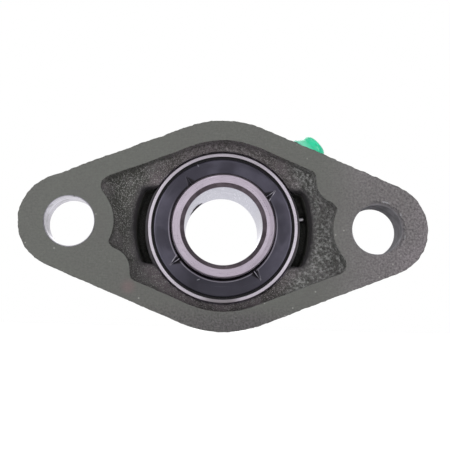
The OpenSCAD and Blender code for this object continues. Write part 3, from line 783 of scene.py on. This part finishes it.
def ground_steel(name, light, finish):
    """Ground bearing steel with circular marks. The finish gives the skin that is not ground."""
    material, tree, shader = new_material(name)
    marks = use_group(tree, "lathe_marks", {"Lines": 5200.0, "Length": 3.0})
    at = place(tree)
    crosswise = add(tree, "ShaderNodeMapping", {"Vector": at, "Rotation": (0, 0.6, 0), "Scale": (1, 1, 9)})
    scuff = noise(tree, crosswise.outputs[0], 330.0, 3.0, 0.65)
    base = ramp(tree, marks["Lines"], [(0.25, tuple(0.8 * c for c in light)), (0.55, light),
                                       (0.8, tuple(1.25 * c for c in light))])
    patched = blend_colour(tree, maths(tree, "MULTIPLY", smooth_step(tree, marks["Patches"], 0.4, 0.75), 0.4),
                           base, tuple(1.25 * c for c in light))
    coloured, skin, bare = finish(tree, at, patched)
    tree.links.new(coloured, shader.inputs["Base Color"])
    tree.links.new(bare, shader.inputs["Metallic"])
    rough = maths(tree, "ADD", maths(tree, "MULTIPLY", marks["Lines"], 0.22),
                  maths(tree, "MULTIPLY", scuff, 0.2))
    rougher = maths(tree, "ADD", rough, maths(tree, "MULTIPLY", skin, 0.2))
    tree.links.new(maths(tree, "ADD", rougher, 0.1), shader.inputs["Roughness"])
    bump(tree, shader, maths(tree, "MULTIPLY_ADD", scuff, 0.4, marks["Lines"]), 0.22, 0.02 * MM)
    return material


def hardened_skin(tree, at, low, high):
    """The dark, cloudy skin that hardening leaves."""
    return ramp(tree, noise(tree, at, 300.0, 3.0, 0.6), [(0.3, low), (0.7, high)])


def inner_ring_finish(tree, at, ground):
    """Dark bore chamfers and set screw threads, a greyer bore that is darker at the top as painted
    reflection, and a dark painted shadow below each thread.
    """
    radius, depth, angle = from_shaft(tree, at)
    # Painted reflection: the bore is light below and darker towards the top.
    above = smooth_step(tree, maths(tree, "SINE", angle), -0.1, 0.7)
    bore = blend_colour(tree, above, (0.6, 0.585, 0.66), (0.27, 0.262, 0.34))
    # Painted highlight: on the right the face is darkened outside a light band by the bore chamfer.
    rightward = maths(tree, "MULTIPLY", maths(tree, "COSINE", angle),
                      smooth_step(tree, radius, 14.4 * MM, 15.6 * MM))
    ground = blend_colour(tree, maths(tree, "MULTIPLY", smooth_step(tree, rightward, 0.3, 0.9), 0.6),
                          ground, (0.29, 0.25, 0.3))
    below = smooth_step(tree, maths(tree, "SINE", angle), -0.3, -0.9)
    ground = blend_colour(tree, maths(tree, "MULTIPLY", below, 0.4), ground, (0.3, 0.26, 0.31))
    in_bore = smooth_step(tree, radius, SHAFT_R + 0.05 * MM, SHAFT_R + 0.02 * MM)
    coloured = blend_colour(tree, in_bore, ground, bore)
    outside_bore = smooth_step(tree, radius, SHAFT_R + 0.03 * MM, SHAFT_R + 0.12 * MM)
    inside_edge = smooth_step(tree, radius, SHAFT_R + BORE_CHAMFER + 0.02 * MM,
                              SHAFT_R + BORE_CHAMFER - 0.06 * MM)
    skin = maths(tree, "MULTIPLY", outside_bore, inside_edge)
    from_screws = vector(tree, "SUBTRACT", at, (0, SCREW_DEPTH, 0))
    for degrees in SCREW_ANGLES.values():
        turn = math.radians(degrees)
        out = tuple(radial_direction(turn))
        away = measure(tree, "LENGTH", vector(tree, "CROSS_PRODUCT", from_screws, out))
        along = measure(tree, "DOT_PRODUCT", from_screws, out)
        this_side = smooth_step(tree, along, 0.0, 10 * MM)
        thread = smooth_step(tree, away, SCREW_R + 0.16 * MM, SCREW_R + 0.06 * MM)
        skin = maths(tree, "MAXIMUM", skin, maths(tree, "MULTIPLY", thread, this_side))
        # Painted shadow: a dark strip on the bore at each set screw's angle, from 23 mm deep onwards.
        turned = maths(tree, "SINE", maths(tree, "SUBTRACT", angle, turn))
        beside = smooth_step(tree, maths(tree, "ABSOLUTE", turned), 0.15, 0.09)
        painted_hole_shadow = product(tree, smooth_step(tree, depth, 23 * MM, 27 * MM), beside, this_side, in_bore, 0.9)
        skin = maths(tree, "MAXIMUM", skin, painted_hole_shadow)
    dark = hardened_skin(tree, at, (0.075, 0.06, 0.07), (0.16, 0.13, 0.15))
    return blend_colour(tree, skin, coloured, dark), skin, maths(tree, "MULTIPLY_ADD", skin, -0.1, 1.0)


def outer_ring_finish(tree, at, ground):
    """Bright end faces with a painted sheen, lighter at the left and right, and darker at the bottom, with
    dark edges and mouths and a grey sphere.
    """
    radius, depth, angle = from_shaft(tree, at)
    # Painted sheen: the end faces are lighter at the left and right and darker at the top and bottom.
    doubled = maths(tree, "MULTIPLY", angle, 2.0)
    sideways = maths(tree, "MULTIPLY_ADD", maths(tree, "COSINE", doubled), 0.5, 0.5)
    lit = grey_ramp(tree, sideways, [(0, 0.78), (1, 1.0)])
    finish_and_painted_light = blend_colour(tree, 1.0, ground, lit, "MULTIPLY")
    # Darker towards the bottom.
    below = smooth_step(tree, maths(tree, "SINE", angle), -0.955, -0.995)
    finish_and_painted_light = blend_colour(tree, maths(tree, "MULTIPLY", below, 0.75), finish_and_painted_light, (0.15, 0.135, 0.14))
    sunk = smooth_step(tree, below_face(tree, depth, RING_HALF_WIDTH), 0.02 * MM, 0.05 * MM)
    outside = smooth_step(tree, radius, RING_FACE_R, RING_FACE_R + 0.04 * MM)
    skin = maths(tree, "MAXIMUM", sunk, outside)
    on_sphere = smooth_step(tree, radius, RING_FACE_R + 0.3 * MM, RING_FACE_R + 0.4 * MM)
    dark = blend_colour(tree, on_sphere, hardened_skin(tree, at, (0.075, 0.062, 0.072), (0.2, 0.17, 0.19)),
                        hardened_skin(tree, at, (0.2, 0.19, 0.21), (0.34, 0.32, 0.35)))
    return blend_colour(tree, skin, finish_and_painted_light, dark), skin, maths(tree, "MULTIPLY_ADD", on_sphere, -0.75, 1.0)


LUG_SLANT = 1.6 * MM
HOLLOW_SLANT = 2.1 * MM


def lug_marks(tree, radius, angle):
    """Painted highlights on the edges and ridges of the pressed lugs, and how deep the painted shade in their
    hollows is.
    """
    turns = maths(tree, "DIVIDE", maths(tree, "SUBTRACT", angle, FIRST_LUG), math.tau / LUG_COUNT)
    nearest = maths(tree, "ROUND", turns)
    handed = maths(tree, "MULTIPLY", maths(tree, "COSINE", maths(tree, "MULTIPLY", nearest, math.pi)), -1.0)
    turned = maths(tree, "MULTIPLY", maths(tree, "SUBTRACT", turns, nearest), math.tau / LUG_COUNT)
    off = product(tree, turned, radius, handed)
    share = maths(tree, "DIVIDE", maths(tree, "SUBTRACT", LUG_TIP_R, radius), LUG_L)
    on_lug = maths(tree, "MULTIPLY", smooth_step(tree, share, 0.0, 0.1), smooth_step(tree, share, 1.03, 0.95))
    edge = maths(tree, "MULTIPLY", share, LUG_SLANT)
    past_edge = maths(tree, "SUBTRACT", off, edge)
    painted_lug_highlight = maths(tree, "MAXIMUM", line_at(tree, past_edge, 0.24 * MM), line_at(tree, off, 0.22 * MM))
    from_hollow = maths(tree, "MULTIPLY_ADD", share, HOLLOW_SLANT, off)
    shaded_side = maths(tree, "MULTIPLY", smooth_step(tree, off, 0.0, -0.15 * MM),
                        smooth_step(tree, from_hollow, 0.0, 0.5 * MM))
    between = maths(tree, "MULTIPLY", smooth_step(tree, off, 0.0, 0.2 * MM),
                    smooth_step(tree, past_edge, 0.1 * MM, -0.1 * MM))
    shade = maths(tree, "MAXIMUM", shaded_side, maths(tree, "MULTIPLY", between, 0.6))
    return maths(tree, "MULTIPLY", painted_lug_highlight, on_lug), maths(tree, "MULTIPLY", shade, on_lug)


def scratch(tree, at, middle, angle, length):
    """A short straight scratch across the shaft's axis: 1 along it and 0 away from it."""
    from_middle = vector(tree, "SUBTRACT", at, middle)
    way = radial_direction(math.radians(angle))
    along = measure(tree, "DOT_PRODUCT", from_middle, tuple(way))
    off = measure(tree, "DOT_PRODUCT", from_middle, (-way.z, 0, way.x))
    return maths(tree, "MULTIPLY", line_at(tree, off, 0.18 * MM), line_at(tree, along, length / 2))


# The slinger's scratches: the middle of each, its angle in degrees and its length
SCRATCHES = [((-8.9 * MM, 0, 20.6 * MM), 118, 1.7 * MM), ((-7.6 * MM, 0, -17.3 * MM), 20, 1.3 * MM)]


def coated_steel(name, light, dark, roughness):
    """Pressed sheet with a dark coating, cloudy, with painted highlights at its lugs and bend, and painted
    shade at its collar, in the lug hollows, deeper than the end face and towards the bottom.
    """
    material, tree, shader = new_material(name)
    at = place(tree)
    radius, depth, angle = from_shaft(tree, at)
    marks = use_group(tree, "lathe_marks", {"Lines": 2600.0, "Length": 1.4})
    cloud = noise(tree, at, 130.0, 4.0, 0.6)
    base = ramp(tree, cloud, [(0.3, dark), (0.72, light)])
    base = blend_colour(tree, maths(tree, "MULTIPLY", smooth_step(tree, marks["Patches"], 0.52, 0.36), 0.6),
                        base, tuple(0.5 * c for c in dark))
    # Painted shade: darker towards the bottom.
    below = smooth_step(tree, maths(tree, "SINE", angle), -0.5, -0.95)
    base = blend_colour(tree, maths(tree, "MULTIPLY", below, 0.7), base, tuple(0.35 * c for c in dark))
    finish_and_painted_light = blend_colour(tree, maths(tree, "MULTIPLY", smooth_step(tree, marks["Lines"], 0.62, 0.8), 0.3),
                        base, tuple(2.2 * c for c in light))
    # Painted highlight: a light line on the bend just outside the collar, on the lower half only, where the
    # bend faces up to the light.
    above = smooth_step(tree, maths(tree, "SINE", angle), -0.1, 0.6)
    past_collar = maths(tree, "SUBTRACT", radius, maths(tree, "MULTIPLY_ADD", above, 0.5 * MM, COLLAR_R))
    bend = maths(tree, "MULTIPLY", line_at(tree, maths(tree, "SUBTRACT", past_collar, 0.25 * MM), 0.26 * MM),
                 maths(tree, "MULTIPLY_ADD", above, -0.5, 0.5))
    # Painted shade: a dark band at the collar, round the inner ring.
    collar = smooth_step(tree, past_collar, 0.12 * MM, 0.0)
    painted_lug_highlight, shade = lug_marks(tree, radius, angle)
    # The lug highlights are faded almost out on the upper-left lug and broken up with noise.
    second_lug = FIRST_LUG + math.tau / LUG_COUNT
    upper_left = maths(tree, "COSINE", maths(tree, "SUBTRACT", angle, second_lug))
    highlight_share = maths(tree, "MULTIPLY_ADD", smooth_step(tree, upper_left, 0.7, 0.92), -0.93, 1.0)
    uneven = smooth_step(tree, noise(tree, at, 700.0, 2.0, 0.5), 0.25, 0.62)
    painted_lug_highlight = product(tree, painted_lug_highlight, highlight_share, uneven)
    scratches = maths(tree, "MAXIMUM", *(scratch(tree, at, *each) for each in SCRATCHES))
    finish_and_painted_light = blend_colour(tree, maths(tree, "MULTIPLY", scratches, 0.4), finish_and_painted_light, (0.5, 0.5, 0.56))
    finish_and_painted_light = blend_colour(tree, maths(tree, "MAXIMUM", collar, shade), finish_and_painted_light, (0.012, 0.01, 0.014))
    finish_and_painted_light = blend_colour(tree, maths(tree, "MAXIMUM", bend, maths(tree, "MULTIPLY", painted_lug_highlight, 0.75)),
                        finish_and_painted_light, (0.42, 0.40, 0.46))
    # Painted shade: near black where the sheet lies deeper than the ring's end face, except along the lug
    # highlights.
    sunk = smooth_step(tree, below_face(tree, depth, RING_HALF_WIDTH), 0.06 * MM, 0.36 * MM)
    sunk = maths(tree, "MULTIPLY", sunk, maths(tree, "SUBTRACT", 1.0, painted_lug_highlight))
    tree.links.new(blend_colour(tree, sunk, finish_and_painted_light, (0.009, 0.008, 0.01)), shader.inputs["Base Color"])
    shader.inputs["Metallic"].default_value = 0.7
    rough = maths(tree, "ADD", maths(tree, "MULTIPLY", cloud, 0.2), roughness - 0.1)
    tree.links.new(rough, shader.inputs["Roughness"])
    bump(tree, shader, marks["Lines"], 0.12, 0.02 * MM)
    return material


def plain_metal(name, light, dark, roughness, grain):
    """Small steel pieces: a fine grain in colour, roughness and height."""
    material, tree, shader = new_material(name)
    at = place(tree)
    fine = noise(tree, at, grain, 4.0, 0.6)
    tree.links.new(ramp(tree, fine, [(0.3, dark), (0.7, light)]), shader.inputs["Base Color"])
    shader.inputs["Metallic"].default_value = 1.0
    rough = maths(tree, "ADD", maths(tree, "MULTIPLY", fine, 0.16), roughness - 0.08)
    tree.links.new(rough, shader.inputs["Roughness"])
    bump(tree, shader, fine, 0.15, 0.02 * MM)
    return material


def moulded_rubber():
    material, tree, shader = new_material("moulded_rubber")
    fine = noise(tree, place(tree), 700.0, 4.0, 0.6)
    tree.links.new(grey_ramp(tree, fine, [(0.3, 0.012), (0.7, 0.028)]), shader.inputs["Base Color"])
    tree.links.new(grey_ramp(tree, fine, [(0.3, 0.45), (0.7, 0.65)]), shader.inputs["Roughness"])
    bump(tree, shader, fine, 0.3, 0.03 * MM)
    return material


# How far out from the part's origin the cap's thin brim ends and its thick dome starts
BRIM_REACH = 39.4 * MM
DOME_REACH = 42 * MM


def cap_plastic():
    """Soft green plastic with a little subsurface scattering, painted a paler green at the thin brim to stand
    in for the light that comes through it there.
    """
    material, tree, shader = new_material("cap_plastic")
    at = place(tree)
    out = radial_direction(NIPPLE_ANGLE)
    reach = measure(tree, "DOT_PRODUCT", at, tuple(out))
    thick = smooth_step(tree, reach, BRIM_REACH, DOME_REACH)
    cloud = noise(tree, at, 180.0, 3.0, 0.5)
    dome = blend_colour(tree, cloud, (0.02, 0.74, 0.38), (0.045, 0.88, 0.52))
    # Painted light: the thin brim is a paler green for the light that shines through it.
    tree.links.new(blend_colour(tree, thick, (0.22, 0.92, 0.62), dome), shader.inputs["Base Color"])
    tree.links.new(grey_ramp(tree, cloud, [(0.3, 0.28), (0.7, 0.4)]), shader.inputs["Roughness"])
    shader.inputs["Subsurface Weight"].default_value = 0.35
    shader.inputs["Subsurface Radius"].default_value = (1.0, 1.0, 1.0)
    shader.inputs["Subsurface Scale"].default_value = 2 * MM
    bump(tree, shader, cloud, 0.1, 0.05 * MM)
    return material


def finish_nodes():
    """Gives every CAD node that shows as it is its material."""
    inner_steel = ground_steel("inner_ring_steel", (0.43, 0.376, 0.445), inner_ring_finish)
    outer_steel = ground_steel("outer_ring_steel", (0.50, 0.46, 0.52), outer_ring_finish)
    pin_steel = plain_metal("pin_steel", (0.30, 0.29, 0.31), (0.12, 0.115, 0.125), 0.24, 900.0)
    balls = plain_metal("lapped_steel", (0.78, 0.78, 0.80), (0.70, 0.70, 0.72), 0.12, 900.0)
    cage = plain_metal("cage_sheet", (0.46, 0.44, 0.40), (0.34, 0.32, 0.29), 0.36, 600.0)
    bright = plain_metal("turned_steel", (0.74, 0.74, 0.76), (0.58, 0.58, 0.60), 0.26, 1400.0)
    zinc = plain_metal("yellow_zinc", (0.72, 0.62, 0.36), (0.50, 0.44, 0.30), 0.30, 420.0)
    coated = coated_steel("slinger_coat", (0.082, 0.077, 0.104), (0.052, 0.048, 0.068), 0.38)
    rubber = moulded_rubber()
    finishes = {
        "outer_ring": outer_steel, "inner_ring": inner_steel, "stop_pin": pin_steel, "cage_rear_half": cage,
        "cage_front_half": cage, "cage_rivets": bright, "rear_seal_core": coated,
        "front_seal_core": coated, "rear_seal_lip": rubber, "front_seal_lip": rubber,
        "rear_slinger": coated, "front_slinger": coated, "grease_nipple": zinc,
        "nipple_ball": balls, "nipple_cap": cap_plastic(),
    }
    for name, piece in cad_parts.items():
        finish = balls if name.startswith("ball_") else finishes.get(name)
        if finish:
            piece.data.materials.clear()
            piece.data.materials.append(finish)


def camera():
    """The photograph's camera: a little below the shaft's axis, looking up at the mounting face."""
    forward = Vector((math.sin(CAMERA_YAW) * math.cos(CAMERA_PITCH),
                      math.cos(CAMERA_YAW) * math.cos(CAMERA_PITCH), math.sin(CAMERA_PITCH)))
    level = Vector((math.cos(CAMERA_YAW), -math.sin(CAMERA_YAW), 0))
    above = level.cross(forward)
    right = math.cos(CAMERA_ROLL) * level + math.sin(CAMERA_ROLL) * above
    up = -math.sin(CAMERA_ROLL) * level + math.cos(CAMERA_ROLL) * above
    lens = bpy.data.cameras.new("camera")
    lens.lens = LENS_MM
    lens.sensor_width = SENSOR_MM
    lens.clip_start = 0.01
    lens.clip_end = 20
    eye = bpy.data.objects.new("camera", lens)
    eye.matrix_world = Matrix.Translation(CAMERA_AT) @ Matrix((right, up, -forward)).transposed().to_4x4()
    bpy.context.scene.collection.objects.link(eye)
    bpy.context.scene.camera = eye


def table_top():
    """A white table just under the part."""
    bpy.ops.mesh.primitive_plane_add(size=8, location=(0, 0, cad_box[0].z - 0.05 * MM))
    top = bpy.context.object
    top.name = "table_top"
    material, tree, shader = new_material("white_table")
    grain = noise(tree, place(tree), 300.0, 3.0, 0.5)
    tree.links.new(grey_ramp(tree, grain, [(0.3, 0.86), (0.7, 0.9)]), shader.inputs["Base Color"])
    shader.inputs["Roughness"].default_value = 0.7
    path = add(tree, "ShaderNodeLightPath").outputs
    seen = maths(tree, "MAXIMUM", path["Is Camera Ray"],
                 maths(tree, "MAXIMUM", path["Is Glossy Ray"], path["Is Transmission Ray"]))
    shader.inputs["Emission Color"].default_value = (1, 1, 1, 1)
    tree.links.new(maths(tree, "MULTIPLY", seen, 0.75), shader.inputs["Emission Strength"])
    top.data.materials.append(material)


def white_room():
    """A world that looks white and lights the part softly. Gloss shows a white wall behind the part, a
    white panel round the camera, a light grey ceiling and dark grey sides."""
    world = bpy.data.worlds.new("white_room")
    bpy.context.scene.world = world
    world.use_nodes = True
    tree = world.node_tree
    tree.nodes.clear()
    towards = add(tree, "ShaderNodeTexCoord").outputs["Generated"]
    _, depth, up = add(tree, "ShaderNodeSeparateXYZ", {0: towards}).outputs
    wall = smooth_step(tree, depth, 0.05, 0.4)
    panel = smooth_step(tree, depth, -0.8, -0.96)
    ceiling = maths(tree, "MULTIPLY", smooth_step(tree, up, 0.35, 0.8), 0.7)
    brightest = maths(tree, "MAXIMUM", maths(tree, "MAXIMUM", wall, panel), ceiling)
    gloss = maths(tree, "MULTIPLY_ADD", brightest, 0.72, 0.28)
    path = add(tree, "ShaderNodeLightPath").outputs
    seen = maths(tree, "MAXIMUM", path["Is Camera Ray"], path["Is Transmission Ray"])
    shown = maths(tree, "MAXIMUM", seen, maths(tree, "MULTIPLY", path["Is Glossy Ray"], gloss))
    either = maths(tree, "MAXIMUM", seen, path["Is Glossy Ray"])
    white = add(tree, "ShaderNodeBackground", {"Color": (1, 1, 1, 1), "Strength": shown})
    soft = add(tree, "ShaderNodeBackground", {"Color": (0.96, 0.98, 1, 1), "Strength": 0.24})
    mix = add(tree, "ShaderNodeMixShader", {0: either, 1: soft.outputs[0], 2: white.outputs[0]})
    result = add(tree, "ShaderNodeOutputWorld")
    tree.links.new(mix.outputs[0], result.inputs["Surface"])


def soft_box(name, at, size, watts):
    """An area lamp that faces the part."""
    lamp = bpy.data.lights.new(name, "AREA")
    lamp.shape = "DISK"
    lamp.size = size
    lamp.energy = watts
    holder = bpy.data.objects.new(name, lamp)
    holder.location = at
    holder.rotation_euler = (Vector((0, 0.01, 0)) - Vector(at)).to_track_quat("-Z", "Y").to_euler()
    bpy.context.scene.collection.objects.link(holder)


lathe_marks_group()
sand_grain_group()
finish_nodes()
plain_metal("black_oxide", (0.05, 0.05, 0.055), (0.02, 0.02, 0.022), 0.36, 900.0)
camera()
casting()
for screw in SCREW_ANGLES:
    set_screw(screw)
nipple_spring()
table_top()
white_room()
soft_box("left", (-0.62, -0.8, 0.1), 0.6, 4.8)
soft_box("right", (0.65, -0.78, 0.1), 0.6, 4.2)
soft_box("top", (0, -0.25, 0.9), 0.7, 1.2)
soft_box("back", (-0.2, 0.9, 0.5), 0.8, 2.8)
bpy.context.scene.view_settings.view_transform = "Standard"
